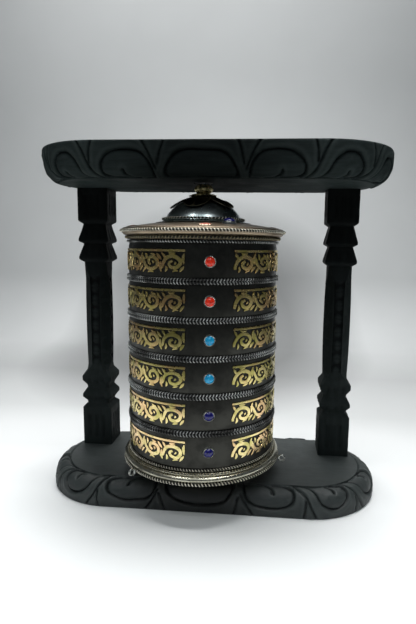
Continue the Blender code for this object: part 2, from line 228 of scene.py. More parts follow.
def coil(radius, height, thickness, pitch, hand):
    """A wire coiled into a rope that circles the drum, with its crests valued 1.

    radius is the rope's centre line, thickness its full diameter and pitch one turn of the wire.
    """
    turns = round(TURN * radius / pitch)
    count = turns * WIRE_STEPS
    along = (TURN * np.arange(count) / count)[:, None]
    wrap = TURN * np.arange(WIRE_SIDES) / WIRE_SIDES
    wire = thickness * WIRE_SHARE
    away = thickness / 2 - wire + wire * np.cos(wrap)
    twist = hand * turns * along
    points = about_axis(along + WIRE_FLAT * wire * np.sin(wrap) / radius,
                        radius + away * np.cos(twist), height + away * np.sin(twist))
    crest = np.tile(away / (thickness / 2), count)
    return Shape(points, grid_faces(count, WIRE_SIDES, True, True), crest)


def rope(name, radius, height, thickness, pitch, material, node=None, hands=(1,)):
    """One rope, or several lying side by side, each twisted to its own hand."""
    shape = Shape()
    for index, hand in enumerate(hands):
        level = height + ROPE_NEST * thickness * ((len(hands) - 1) / 2 - index)
        shape.join(coil(radius, level, thickness, pitch, hand))
        # A near-black ring: painted shade between the wires
        core = [(radius + out, level + up) for out, up in circle(CORE_SHARE * thickness, 6)]
        shape.join(revolve(core, closed=True))
    add_mesh(name, shape, [material], node, sharp=80, attribute="wear_and_light")


# ---- materials

class Nodes:
    """A material's node tree with short calls for what the finishes need."""

    def __init__(self, name, roughness=0.5, metallic=0):
        self.material = bpy.data.materials.new(name)
        self.material.use_nodes = True
        self.tree = self.material.node_tree
        self.shader = self.tree.nodes["Principled BSDF"]
        self.shader.inputs["Roughness"].default_value = roughness
        self.shader.inputs["Metallic"].default_value = metallic
        self.place = self.node("TexCoord").outputs["Object"]

    def fill(self, socket, value):
        """Join a socket to another one, or give it a value."""
        if isinstance(value, bpy.types.NodeSocket):
            self.tree.links.new(value, socket)
        else:
            socket.default_value = value

    def node(self, kind, inputs=()):
        node = self.tree.nodes.new("ShaderNode" + kind)
        for key, value in dict(inputs).items():
            self.fill(node.inputs[key], value)
        return node

    def stretched(self, scale):
        """Object coordinates stretched by a factor on each axis."""
        return self.node("Mapping", {"Vector": self.place, "Scale": scale}).outputs["Vector"]

    def noise(self, scale, detail=4, rough=0.6, vector=None):
        inputs = {"Vector": vector or self.place, "Scale": scale, "Detail": detail, "Roughness": rough}
        return self.node("TexNoise", inputs).outputs["Fac"]

    def along(self, axis, start, end):
        """How far a point lies from start to end along one axis, from 0 to 1."""
        value = self.node("SeparateXYZ", {"Vector": self.place}).outputs[axis]
        return self.node("MapRange", {"Value": value, "From Min": start, "From Max": end}).outputs["Result"]

    def attribute(self, name):
        node = self.node("Attribute")
        node.attribute_name = name
        return node.outputs["Fac"]

    def ramp(self, factor, *stops):
        """Colour or grey stops as (place, value); a plain number is a grey."""
        node = self.node("ValToRGB", {"Fac": factor})
        bar = node.color_ramp.elements
        while len(bar) < len(stops):
            bar.new(0.5)
        for item, (place, value) in zip(bar, stops):
            item.position = place
            shade = value if isinstance(value, tuple) else (value, value, value)
            item.color = (*shade, 1)
        return node.outputs["Color"]

    def mix(self, factor, first, second, blend="MIX"):
        """Mix of two colours; each may be a socket or a tuple, and the factor a number."""
        node = self.node("Mix")
        node.data_type = "RGBA"
        node.blend_type = blend
        for key, value in zip((0, 6, 7), (factor, first, second)):
            self.fill(node.inputs[key], (*value, 1) if isinstance(value, tuple) else value)
        return node.outputs[2]

    def bump(self, height, strength, distance, normal=None):
        """Bump the surface, on top of an earlier bump where its normal is given."""
        node = self.node("Bump", {"Height": height, "Strength": strength, "Distance": distance})
        if normal:
            self.fill(node.inputs["Normal"], normal)
        self.fill(self.shader.inputs["Normal"], node.outputs["Normal"])
        return node.outputs["Normal"]

    def colour(self, source):
        self.fill(self.shader.inputs["Base Color"], source)

    def roughness(self, source):
        self.fill(self.shader.inputs["Roughness"], source)


WOOD_TONES = ((0.0058, 0.0082, 0.0083), (0.0172, 0.0228, 0.0226), (0.034, 0.043, 0.041))
# Colour of the cuts: dust and painted shade
WOOD_DUST_AND_SHADE = (0.0045, 0.0052, 0.0054)


def wood(name, grain, shade, gloss, axis, start, end, *stops):
    """Blackened carved hardwood with fine grain: greyer on the ridges for rubbed wear and painted
    highlight, duller and darker in the cuts for dust and painted shade.

    It gets darker along one axis, by the stops from start to end, as painted shade; shade scales the tones
    for a lighter or darker copy.
    """
    n = Nodes(name)
    fibres = n.noise(260, 6, 0.65, n.stretched(grain))
    patches = n.noise(34, 4, 0.6)
    relief = n.attribute("relief")
    low, high, ridge = (tuple(shade * part for part in tone) for tone in WOOD_TONES)
    body = n.ramp(fibres, (0.3, low), (0.72, high))
    # Lighter on high relief for rubbed wear and painted highlight, darker on low relief for dust and
    # painted shade
    lighter = n.mix(n.ramp(relief, (0.35, 0), (0.95, 0.55)), body, ridge)
    dust_and_shade = n.mix(n.ramp(relief, (0.02, 0.5), (0.4, 0)), lighter, WOOD_DUST_AND_SHADE)
    # Painted shade along one axis
    n.colour(n.mix(1, dust_and_shade, n.ramp(n.along(axis, start, end), *stops), "MULTIPLY"))
    n.roughness(n.ramp(patches, (0.3, 0.46), (0.7, 0.7)))
    n.shader.inputs["Specular IOR Level"].default_value = gloss
    rough = n.bump(n.noise(900, 3, 0.6, n.stretched(grain)), 0.22, 0.0006)
    n.bump(patches, 0.35, 0.0012, rough)
    return n.material


def metal(name, bright, dull, roughness, tarnish_scale=60, tarnish=(0.42, 0.68), bump=0.1,
          dirt_and_shade=None, metallic=1, stain=None, fade=None):
    """Metal with cloudy tarnish and stains.

    The hollows' colour, as (start, end, colour), darkens low values of a piece's point attribute: grime on
    the ornament, painted shade between a rope's wires and on its core.
    fade is (lowest, highest, stops) for painted shade and reflection that change with height.
    """
    n = Nodes(name, metallic=metallic)
    clouds = n.noise(tarnish_scale, 5, 0.6)
    colour = n.mix(n.ramp(clouds, (tarnish[0], 0), (tarnish[1], 1)), bright, dull)
    if stain:
        colour = n.mix(n.ramp(n.noise(48, 2), (0.5, 0), (0.64, 0.75)), colour, stain)
    # Painted shade and reflection that change with height
    if fade:
        lowest, highest, stops = fade
        colour = n.mix(1, colour, n.ramp(n.along("Z", lowest, highest), *stops), "MULTIPLY")
    # Low point values painted near-black: painted shade on ropes, grime on the ornament
    if dirt_and_shade:
        hollow = n.ramp(n.attribute("wear_and_light"), (dirt_and_shade[0], 1), (dirt_and_shade[1], 0))
        colour = n.mix(hollow, colour, dirt_and_shade[2])
    n.colour(colour)
    n.roughness(n.ramp(clouds, (0.3, roughness[0]), (0.72, roughness[1])))
    n.bump(n.noise(900, 3, 0.6), bump, 0.0002)
    return n.material


def spun_material():
    """Blued polished dome: faint turning lines and darker clouds."""
    n = Nodes("blued_metal", metallic=1)
    clouds = n.noise(38, 4, 0.55)
    lines = n.noise(240, 2, 0.5, n.stretched((0.05, 0.05, 14)))
    n.colour(n.ramp(clouds, (0.3, (0.4, 0.48, 0.49)), (0.7, (0.55, 0.62, 0.62))))
    n.roughness(n.ramp(clouds, (0.3, 0.24), (0.7, 0.31)))
    n.bump(lines, 0.2, 0.0002)
    return n.material


def collar_material():
    """Dark petals whose crests and points keep an olive gilding, partly a painted highlight, with painted
    shade in their hollows.
    """
    n = Nodes("petal_metal", metallic=1)
    clouds = n.noise(150, 4, 0.6)
    # Gilding and painted highlight on high values, painted shade on low ones
    gilt = n.ramp(n.attribute("wear_and_light"), (0.45, 0), (0.9, 1))
    patchy = n.mix(n.ramp(clouds, (0.35, 0.35), (0.62, 1)), (0, 0, 0), gilt)
    olive = n.ramp(clouds, (0.3, (0.16, 0.14, 0.07)), (0.7, (0.48, 0.43, 0.26)))
    n.colour(n.mix(patchy, (0.03, 0.032, 0.03), olive))
    n.roughness(n.ramp(clouds, (0.3, 0.26), (0.7, 0.42)))
    n.bump(n.noise(600, 3), 0.15, 0.0003)
    return n.material


def stone(name, deep, light, veins, roughness=0.16):
    """Polished opaque stone with soft veins and a clear skin."""
    n = Nodes(name, roughness)
    spots = n.noise(1300, 2, 0.5)
    base = n.ramp(n.noise(420, 6, 0.7), (0.34, deep), (0.66, light))
    n.colour(n.mix(n.ramp(spots, (0.62, 0), (0.74, 0.6)), base, veins))
    n.shader.inputs["Coat Weight"].default_value = 0.15
    n.shader.inputs["Coat Roughness"].default_value = 0.06
    n.bump(spots, 0.05, 0.0001)
    return n.material


def paper_material():
    n = Nodes("paper", 0.85)
    layers = n.noise(500, 4, 0.6, n.stretched((1, 1, 0.1)))
    n.colour(n.ramp(layers, (0.3, (0.52, 0.43, 0.27)), (0.7, (0.72, 0.64, 0.46))))
    n.bump(layers, 0.3, 0.0004)
    return n.material


def stage_material():
    """Painted board: pale under the object, with painted shade greyer in front and behind and a painted
    shadow on the wall behind the object.
    """
    n = Nodes("pale_board", 0.75)
    n.shader.inputs["Specular IOR Level"].default_value = 0.1
    clouds = n.ramp(n.noise(3, 3), (0.35, (0.78, 0.8, 0.8)), (0.65, (0.82, 0.84, 0.84)))
    # Painted shade: the floor greyer towards the front and behind the object, the wall greyer than the
    # floor
    depth = n.ramp(n.along("Y", -1, 0.6), (0.28, 0.28), (0.5, 1), (0.6, 1), (0.66, 0.66),
                   (0.74, 0.46), (0.86, 0.4), (1, 0.6))
    board = n.mix(1, clouds, depth, "MULTIPLY")
    # Painted shadow of the object on the wall and floor behind it
    middle = n.node("Mapping", {"Vector": n.place, "Location": (-0.09, 0.62, 0.05),
                                "Scale": (0.36, 0.5, 0.3)})
    middle.vector_type = "TEXTURE"
    shadow = n.node("TexGradient", {"Vector": middle.outputs["Vector"]})
    shadow.gradient_type = "SPHERICAL"
    soft = n.ramp(shadow.outputs["Fac"], (0, 1), (0.22, 0.66), (0.45, 0.4))
    n.colour(n.mix(1, board, soft, "MULTIPLY"))
    return n.material


# Painted shade: the top board darker across its middle, the base darker across its middle as the drum's
# painted shadow, and the posts a darker copy that grows darker towards the top for the shade under the top
# board
WOOD_TOP = wood("black_wood_top", (0.12, 1, 1), 1.3, 0.01, "X", -0.15, 0.15,
                (0.18, 1), (0.42, 0.42), (0.58, 0.42), (0.82, 1))
WOOD_BASE = wood("black_wood_base", (0.12, 1, 1), 1.25, 0.45, "X", -0.15, 0.15,
                 (0.24, 1), (0.38, 0.26), (0.56, 0.26), (0.72, 1))
WOOD_UPRIGHT = wood("black_wood_post", (1, 1, 0.12), 0.75, 0.04, "Z", 0.1, 0.26,
                    (0.05, 1), (0.75, 0.3))
DARK_METAL = metal("dark_metal", (0.044, 0.044, 0.039), (0.024, 0.024, 0.022), (0.3, 0.46), 70)
# The ropes' near-black hollow colours are painted shade between the wires
DARK_ROPE = metal("dark_rope", (0.6, 0.62, 0.6), (0.07, 0.07, 0.065), (0.3, 0.42), 42,
                  (0.42, 0.6), dirt_and_shade=(0.7, 0.9, (0.003, 0.003, 0.003)), metallic=0.5)
OLIVE_ROPE = metal("olive_rope", (0.3, 0.26, 0.15), (0.08, 0.068, 0.04), (0.34, 0.48), 55,
                   dirt_and_shade=(0.7, 0.9, (0.003, 0.003, 0.002)), metallic=0.5)
# Painted shade and reflection on the ornament at each band's middle, from the lowest band to the highest
BAND_SHADE_TINTS = [(1, 1, 1), (0.9, 0.88, 0.84), (0.62, 0.63, 0.5), (0.52, 0.52, 0.44),
              (0.66, 0.62, 0.52), (0.96, 0.88, 0.74)]
PAINTED_BAND_SHADE = (corners("drum_shell")[0][2] * MM, corners("drum_shell")[1][2] * MM,
          [((band + 0.5) / len(BAND_SHADE_TINTS), tint) for band, tint in enumerate(BAND_SHADE_TINTS)])
ORNAMENT = metal("oxidised_brass", (0.92, 0.76, 0.4), (0.56, 0.51, 0.17), (0.2, 0.34), 120,
                 (0.36, 0.66), 0.14, dirt_and_shade=(0.3, 0.92, (0.02, 0.018, 0.014)),
                 stain=(0.8, 0.52, 0.3), fade=PAINTED_BAND_SHADE)
SILVER = metal("aged_silver", (0.5, 0.48, 0.39), (0.2, 0.19, 0.14), (0.2, 0.36), 45)
LID_SILVER = metal("lid_silver", (0.34, 0.27, 0.195), (0.21, 0.17, 0.12), (0.34, 0.5), 45)
SILVER_ROPE = metal("silver_rope", (0.8, 0.77, 0.64), (0.4, 0.37, 0.28), (0.3, 0.44), 60,
                    dirt_and_shade=(0.7, 0.9, (0.004, 0.003, 0.002)), metallic=0.55)
BEZEL_SILVER = metal("bezel_silver", (0.42, 0.43, 0.4), (0.14, 0.14, 0.13), (0.2, 0.34), 260)
BRASS = metal("brass", (0.66, 0.5, 0.22), (0.36, 0.26, 0.1), (0.24, 0.42), 130)
GOLD = metal("gold", (0.9, 0.78, 0.42), (0.16, 0.14, 0.05), (0.34, 0.52), 300, (0.44, 0.58), 0.8,
             metallic=0.7)
BLACKENED = metal("blackened_metal", (0.02, 0.02, 0.018), (0.012, 0.012, 0.011), (0.55, 0.75))
STEEL = metal("steel", (0.56, 0.56, 0.55), (0.34, 0.33, 0.31), (0.26, 0.42), 110)
BLUED = spun_material()
PETAL_METAL = collar_material()
CORAL = stone("coral", (0.68, 0.014, 0.003), (0.92, 0.04, 0.01), (0.95, 0.12, 0.05))
PALE_CORAL = stone("coral_worn", (0.3, 0.055, 0.035), (0.42, 0.12, 0.08), (0.48, 0.22, 0.16), 0.4)
TURQUOISE = stone("turquoise", (0.002, 0.25, 0.52), (0.008, 0.42, 0.74), (0.02, 0.16, 0.26))
LAPIS = stone("lapis", (0.003, 0.003, 0.07), (0.008, 0.008, 0.17), (0.1, 0.1, 0.25))
PAPER = paper_material()


# ---- boards

CARVE_STEP = 0.75  # spacing of the carving grid along the edge
CARVE_ROWS = 44  # rows of it down the edge and the slope
EDGE_HEIGHT = 8  # upright part of the edge
SLOPE_INSET = 14
SLOPE_ARC = 22  # length of the carved slope over its curve
GROOVE_DEPTH = 1.7
GROOVE_WIDTH = 0.8
SCOOP_DEPTH = 1.5  # hollow of a petal beside its outline
SCOOP_REACH = 5
HOOK_REACH = 3  # hollow under a hook
PATTERN_END = 187  # where the pattern turns back on itself, at the board's end
PATTERN_SHIFT = 4  # how far its middle lies left of the board's middle
RING_INSET = 1.5  # ring inside a flat face's outline
HOLE_RING = 0.8  # ring round a hole
HOLE_SIDES = 32
# Low relief paints the wood darker, so the wall of a hole is kept low as painted shade
FLAT_RELIEF = 0.62  # relief of a plain face, and of the dark wall of a hole
HOLE_RELIEF = 0.3

# Carved lines as (distance from the middle of the front, distance down the edge)
CENTRE_PETAL = [(-6, 6.7), (0, 6.6), (9, 7), (17, 8.6), (23, 12), (27, 17.5),
                (28.5, 23.5), (26.5, 28.5)]
FIRST_PETAL = [(36.5, 29), (37, 22), (40, 14), (46, 8.8), (54, 7), (62, 6.6),
               (70, 8), (76.5, 12), (79.5, 17.5), (78, 24), (71, 28), (61, 29.3)]
FIRST_HOOK = [(61.5, 19.5), (60, 24.5), (54, 28.5), (48, 29.4)]
FIRST_VEE = [[(28.5, 0.4), (31, 7), (33.5, 15.5)], [(45.5, 0.4), (40, 8.5), (35, 18.5)]]
NEXT_PETAL = [(76, 29.6), (89.5, 27), (96, 21.5), (99, 15.5), (103, 11), (110.5, 8),
              (119, 9), (125, 14.5), (126.5, 20.5), (123, 26.5), (114, 29.4)]
NEXT_HOOK = [(113.5, 20.5), (112.5, 25), (107, 28.8)]
NEXT_VEE = [[(86, 0.4), (87.3, 7), (87.8, 14.5)],
            [(97.5, 0.6), (91.5, 10.5), (86.5, 20), (79, 27.5)]]
PETAL_PITCH = 46.5
LAST_VEE = [[(176.5, 0.5), (180.5, 8), (183, 15)]]


def carving_lines():
    """The cut lines of half a side: closed petals, hooks, and vees between the petals."""
    centre_half = smooth_line(CENTRE_PETAL)
    petals = [np.vstack([centre_half * (-1, 1), centre_half[::-1]])[1:], smooth_line(FIRST_PETAL)]
    hooks = [smooth_line(FIRST_HOOK)]
    vees = [smooth_line(line) for line in FIRST_VEE + LAST_VEE]
    for shift in (0, PETAL_PITCH):
        petals.append(smooth_line(NEXT_PETAL) + (shift, 0))
        hooks.append(smooth_line(NEXT_HOOK) + (shift, 0))
        vees += [smooth_line(line) + (shift, 0) for line in NEXT_VEE]
    return petals, hooks, vees


def distance_to_line(x, y, line):
    """Shortest distance from each point to a line of short segments."""
    nearest = np.full(x.shape, np.inf)
    for start, end in zip(line[:-1], line[1:]):
        span = end - start
        length = max(float(span @ span), 1e-9)
        t = share(((x - start[0]) * span[0] + (y - start[1]) * span[1]) / length)
        nearest = np.minimum(nearest, np.hypot(x - start[0] - t * span[0], y - start[1] - t * span[1]))
    return nearest


def inside_outline(x, y, line):
    """Whether each point lies inside the closed outline."""
    inside = np.zeros(x.shape, bool)
    for start, end in zip(line, np.roll(line, -1, axis=0)):
        if start[1] == end[1]:
            continue
        crosses = (start[1] > y) != (end[1] > y)
        where = start[0] + (y - start[1]) * (end[0] - start[0]) / (end[1] - start[1])
        inside ^= crosses & (x < where)
    return inside


def waver(x, y, size, seed, count=7):
    """Smooth unevenness of hand work, between about -1 and 1."""
    rng = np.random.default_rng(seed)
    total = np.zeros(x.shape)
    for _ in range(count):
        angle, phase = rng.uniform(0, TURN, 2)
        wave = rng.uniform(0.6, 1.8) / size
        total += np.sin(TURN * wave * (x * cos(angle) + y * sin(angle)) + phase)
    return total / sqrt(count * 2)


def hump(distance, width):
    """A smooth bell that is 1 at no distance."""
    return np.exp(-(distance / width) ** 2)


def carve(along, down, seed):
    """How far the carved surface stands in or out, and its relief from 0 to 1."""
    petals, hooks, vees = carving_lines()
    x = np.abs(along) + 0.8 * waver(along, down, 38, seed)
    y = down + 0.45 * waver(along, down, 30, seed + 1)
    groove = np.full(x.shape, np.inf)
    scoop = np.zeros(x.shape)
    for line in petals:
        gap = distance_to_line(x, y, line)
        groove = np.minimum(groove, gap)
        scoop = np.maximum(scoop, np.exp(-gap / SCOOP_REACH) * inside_outline(x, y, line))
    for line in hooks:
        gap = distance_to_line(x, y, line)
        groove = np.minimum(groove, gap)
        below = (y > line[0][1]) & (x > line[-1][0])
        scoop = np.maximum(scoop, 0.7 * np.exp(-gap / HOOK_REACH) * below)
    for line in vees:
        groove = np.minimum(groove, distance_to_line(x, y, line))
    cut = hump(groove, GROOVE_WIDTH * (1 + 0.25 * waver(along, down, 17, seed + 2)))
    border = hump(down - EDGE_HEIGHT - SLOPE_ARC + 0.8, 0.8)
    swell = 0.35 * hump(groove - 2.4, 1.6) * (1 - scoop)
    depth = GROOVE_DEPTH * np.maximum(cut, 0.8 * border) + SCOOP_DEPTH * scoop
    shift = (swell - depth) * share(down / 1.5) + 0.1 * waver(along, down, 9, seed + 3)
    # Relief is low in the cuts and scoops and high on the swells: dust and painted shade low, rubbed wear
    # and painted highlight high
    relief = share(FLAT_RELIEF * (1 - cut) - 0.3 * scoop + 0.9 * swell)
    return shift, relief


def rim_place(along, inset, half_length, half_width):
    """Point and outward direction on a board's half-round outline, pulled in by inset."""
    straight = half_length - half_width
    arc = pi * half_width
    bends = np.cumsum([0, straight, arc, 2 * straight, arc, straight])
    spine = np.interp(along, bends, [0, straight, straight, -straight, -straight, 0])
    heading = np.interp(along, bends, [0, 0, pi, pi, TURN, TURN])
    out_x = np.sin(heading)
    out_y = -np.cos(heading)
    reach = half_width - inset
    return spine + reach * out_x, reach * out_y, out_x, out_y


def flat_face(shape, outline, ring, holes, height):
    """A level face inside an outline, with round holes.

    A ring just inside the outline and round each hole keeps the edges' shading off the face.
    """
    points = [*outline, *ring]
    loops = [list(range(len(outline)))]
    for x, y, radius, _, _ in holes:
        loops.append(list(range(len(points), len(points) + HOLE_SIDES)))
        points += circle(radius, HOLE_SIDES, x, y) + circle(radius + HOLE_RING, HOLE_SIDES, x, y)
    found = delaunay_2d_cdt([Vector(point) for point in points], [], loops, 2, 0.00001)
    shape.add([(*vertex, height) for vertex in found[0]], found[2], value=FLAT_RELIEF)


def hole_wall(shape, hole, height, way):
    """The wall of a bored hole, with a floor ring where one shows; way is +1 for up."""
    x, y, radius, depth, floor_radius = hole
    rings = [(radius, height), (radius, height + way * depth)]
    if floor_radius:
        rings.append((floor_radius, height + way * depth))
    points = [(*place, level) for reach, level in rings for place in circle(reach, HOLE_SIDES, x, y)]
    shape.add(points, grid_faces(len(rings), HOLE_SIDES, close_columns=True), value=HOLE_RELIEF)


def make_board(name, node, flip, outer_holes, inner_holes, seed, material):
    """A carved board; flip is -1 for the top board, whose carved slope looks down.

    A hole is (x, y, radius, depth, radius of its floor's opening).
    """
    low, high = corners(node)
    half_length, half_width, half_thickness = half_size(node)
    slope_rise = 2 * half_thickness - EDGE_HEIGHT
    outer = low[2] if flip > 0 else high[2]
    round_trip = 4 * (half_length - half_width) + TURN * half_width
    count = int(round_trip / CARVE_STEP)
    down = np.linspace(0, EDGE_HEIGHT + SLOPE_ARC, CARVE_ROWS)
    along, grid_down = np.meshgrid(round_trip * np.arange(count) / count, down)

    signed = (along + round_trip / 2) % round_trip - round_trip / 2
    behind = np.abs(signed) > PATTERN_END
    signed = np.where(behind, np.sign(signed) * (round_trip / 2 - np.abs(signed)), signed)
    signed = signed + PATTERN_SHIFT * (1 - (signed / PATTERN_END) ** 2)
    shift, relief = carve(signed, grid_down, seed)
    shift[0] = 0
    shift[-1] = 0

    down = down[:, None]
    turn = share((down - EDGE_HEIGHT) / SLOPE_ARC) * pi / 2
    rounding = 0.7 * share(1 - down / 1.6) ** 2
    inset = SLOPE_INSET * (1 - np.cos(turn)) + rounding
    rise = np.minimum(down, EDGE_HEIGHT) + slope_rise * np.sin(turn)
    lean = np.arctan2(SLOPE_INSET * np.sin(turn), slope_rise * np.cos(turn))
    x, y, out_x, out_y = rim_place(along, inset, half_length, half_width)
    sideways = shift * np.cos(lean)
    z = outer + flip * (rise + shift * np.sin(lean))
    points = np.stack([x + sideways * out_x, y + sideways * out_y, z], axis=-1)
    shape = Shape(points, grid_faces(CARVE_ROWS, count, close_columns=True), relief)
    for holes, row, way in ((outer_holes, 0, flip), (inner_holes, -1, -flip)):
        height = points[row][0][2]
        ring = rim_place(along[0, ::3], inset[row] + RING_INSET, half_length, half_width)[:2]
        flat_face(shape, points[row][:, :2], zip(*ring), holes, height)
        for hole in holes:
            hole_wall(shape, hole, height, way)
    add_mesh(name, shape, [material], node, "stand", 50, "relief", weld=True)


# ---- posts

POST_ROWS = 0.8  # spacing of the carving grid up a post
POST_SIDE = 22  # columns on each side
# Half the width of a post, and how far its corners are cut, at heights above its foot
POST_SECTIONS = [
    (0, 14.25, 0.8), (37.5, 14.25, 0.8), (38.5, 13.7, 1.2), (41.5, 10.65, 1.5), (43.5, 11, 1.5),
    (48, 14.25, 0.9), (51, 14.25, 0.9), (52.5, 13.6, 1.2), (57, 10.65, 1.6), (59.5, 11, 1.6),
    (65, 14.25, 0.9), (69, 14.25, 0.9), (70.5, 13.6, 1.2), (75.5, 10.65, 2.4), (80, 11.2, 6.4),
    (100, 11.9, 7.6), (125, 12.1, 7.8), (150, 11.9, 7.6), (166, 11.4, 6.6), (171, 10.9, 4),
    (181, 10.65, 1.8), (183.2, 13.6, 1), (184, 14.25, 0.9), (186, 14.25, 0.9),
    (192, 12.6, 1.4), (198.5, 10.65, 1.8), (200.3, 13.6, 1), (201, 14.25, 0.9),
    (203, 14.25, 0.9), (210, 12.4, 1.4), (217, 10.65, 1.6), (219.4, 13.7, 1),
    (220.5, 14.25, 0.8), (250.2, 14.25, 0.8),
]
# Upright gouges: lowest and highest point, places across the side, width and depth
GOUGES = [
    (6, 32, (-6.5, 0, 6.5), 1.5, 1),
    (44, 50.5, (-7, 0, 7), 1.2, 1),
    (60, 68.5, (-7, 0, 7), 1.2, 1),
    (183.5, 196, (-6, 0, 6), 1.1, 0.8),
    (201, 214, (-6, 0, 6), 1.1, 0.8),
    (224, 246, (-6.5, 0, 6.5), 1.4, 1),
]
GOUGE_RUN_OUT = 3  # length over which a cut comes up to the surface
STRIP_LOW = 80  # the sunk strip of beads up the shaft
STRIP_HIGH = 169
STRIP_HALF = 5.6
STRIP_DEPTH = 1.9
BEAD_PITCH = 12.6
BEAD_HALVES = (4.4, 5.7)  # half the width and half the height of a bead
BEAD_RISE = 2.3


def run_out(height, low, high):
    """A cut's share of its full depth, which fades at both ends."""
    rising = share((height - low) / GOUGE_RUN_OUT)
    return rising * share((high - height) / GOUGE_RUN_OUT)


def post_relief(across, height, seed):
    """Carving of one side of a post: gouges, and a sunk strip of beads up the shaft."""
    wobble = 0.5 * waver(across, height, 23, seed)
    depth = np.zeros(across.shape)
    for low, high, places, width, deep in GOUGES:
        for place in places:
            gouge = deep * run_out(height, low, high) * hump(across + wobble - place, width)
            depth = np.maximum(depth, gouge)
    strip = run_out(height, STRIP_LOW, STRIP_HIGH) * share((STRIP_HALF - np.abs(across)) / 1.2)
    phase = (height + wobble) / BEAD_PITCH
    rise = (phase - np.floor(phase) - 0.5) * BEAD_PITCH
    bead = np.sqrt(share(1 - (across / BEAD_HALVES[0]) ** 2 - (rise / BEAD_HALVES[1]) ** 2))
    nick = 0.7 * hump(rise, 0.8) * (bead > 0.2)
    depth = depth + strip * (STRIP_DEPTH - BEAD_RISE * bead + nick)
    # Low relief in the cuts: dust and painted shade in the wood
    relief = share(0.7 - 0.4 * depth)
    return depth + 0.12 * waver(across, height, 11, seed + 5), relief


def make_post(name, node, seed):
    """A square post carved alike on its four sides, with closer columns towards the corners."""
    low, high = corners(node)
    middle = (low + high) / 2
    tall = high[2] - low[2]
    count = int(tall / POST_ROWS)
    heights = (tall * np.arange(count + 1) / count)[:, None]
    levels, halves, cuts = np.array(POST_SECTIONS).T
    half = np.interp(heights, levels, halves)
    cut = np.interp(heights, levels, cuts)
    spread = (np.arange(POST_SIDE) + 0.5) / POST_SIDE * 2 - 1
    across = np.sin(spread * pi / 2 * 0.97) * half
    from_corner = half - np.abs(across)
    height = np.broadcast_to(heights, across.shape)
    sides = []
    reliefs = []
    for side in range(4):
        depth, relief = post_relief(across, height, seed + side)
        out = np.minimum(half, half - cut + from_corner) - depth * share(from_corner / 1.5)
        x_share = cos(side * pi / 2)
        y_share = sin(side * pi / 2)
        x = middle[0] + across * x_share + out * y_share
        y = middle[1] + across * y_share - out * x_share
        sides.append(np.stack([x, y, low[2] + height], axis=-1))
        # Corners get higher relief: rubbed wear and painted highlight
        reliefs.append(share(relief + 0.25 * hump(from_corner, 1.2)))
    points = np.concatenate(sides, axis=1)
    columns = points.shape[1]
    faces = grid_faces(count + 1, columns, close_columns=True)
    faces.append(tuple(range(columns))[::-1])
    faces.append(tuple(range(count * columns, (count + 1) * columns)))
    shape = Shape(points, faces, np.concatenate(reliefs, axis=1))
    add_mesh(name, shape, [WOOD_UPRIGHT], node, "stand", 48, "relief")


# ---- bands

BANDS = 6
BAND_BULGE = 0.55
ORNAMENT_RISE = 0.75
BLOCKS = 3  # ornament blocks, and stones between them, on each band
BLOCK_ANGLE = 86.6  # width of one block, in degrees
BLOCK_HEIGHT = 18
STONE_ANGLE = 13  # the first stone's place, from the front towards +X
UNIT_COUNT = 5  # scrolls in a block
UNIT_SIZE = 18.4  # width and height that the scroll below is drawn for
TOP_LINE = 2.2  # width of the plain line along a block's upper edge

# One scroll with its leaves, as (points, widest, taper)
SCROLL = [
    ([(-11, -5.6), (-8.6, -3.4), (-7.2, 0.8), (-4.2, 4.6), (0.6, 5.6), (5, 3.2), (5.6, -1.2),
      (2.4, -4.6), (-1.8, -3.6), (-2.6, -0.2), (-0.2, 1.7)], 3.4, "scroll"),
    ([(9.2, 8.6), (8, 4), (8.6, -1.2)], 2.8, "leaf"),
    ([(5.2, -8), (6.9, -5.2), (9.4, -2.6)], 2.6, "leaf"),
    ([(-6.2, -8), (-5.2, -5.6), (-5.6, -2.4)], 2.4, "leaf"),
    ([(-9.2, 8.8), (-7.2, 6.2), (-6.2, 3.6)], 2.4, "leaf"),
    ([(-3.6, 9), (-1.6, 8), (2, 8.6)], 2.2, "leaf"),
    ([(-0.6, -8), (1.4, -6.9), (4.2, -6.6)], 2, "leaf"),
    ([(0.9, -1.7), (1.9, -0.4), (1.8, 1)], 2, "leaf"),
]


def block_strokes(width, rng):
    """The top line and scrolls of one block as (points, widest, taper)."""
    unit = width / UNIT_COUNT
    across = np.linspace(-width / 2, width / 2, 40)
    top = np.full(40, (BLOCK_HEIGHT - TOP_LINE) / 2)
    strokes = [(np.stack([across, top], axis=1), TOP_LINE, "even")]
    for index in range(UNIT_COUNT):
        middle = -width / 2 + unit * (index + 0.5)
        flip = 1 if index % 2 == 0 else -1
        squeeze = (unit / UNIT_SIZE, flip * (BLOCK_HEIGHT - TOP_LINE) / UNIT_SIZE)
        for points, widest, taper in SCROLL:
            jitter = rng.normal(0, 0.16, (len(points), 2))
            line = np.array(points) * squeeze + jitter + (middle, -TOP_LINE / 2)
            line[:, 0] = np.clip(line[:, 0], -width / 2 + 0.6, width / 2 - 0.6)
            strokes.append((smooth_line(line), widest * rng.uniform(0.92, 1.08), taper))
    return strokes


def stroke_width(place, taper):
    """Width of a stroke along its length, as a part of its widest."""
    if taper == "leaf":
        return 0.12 + 0.88 * np.sin(pi * share(place)) ** 0.6
    if taper == "scroll":
        return 0.35 + 0.65 * np.sin(pi * (0.1 + 0.8 * place)) ** 0.5
    return np.ones(len(place))


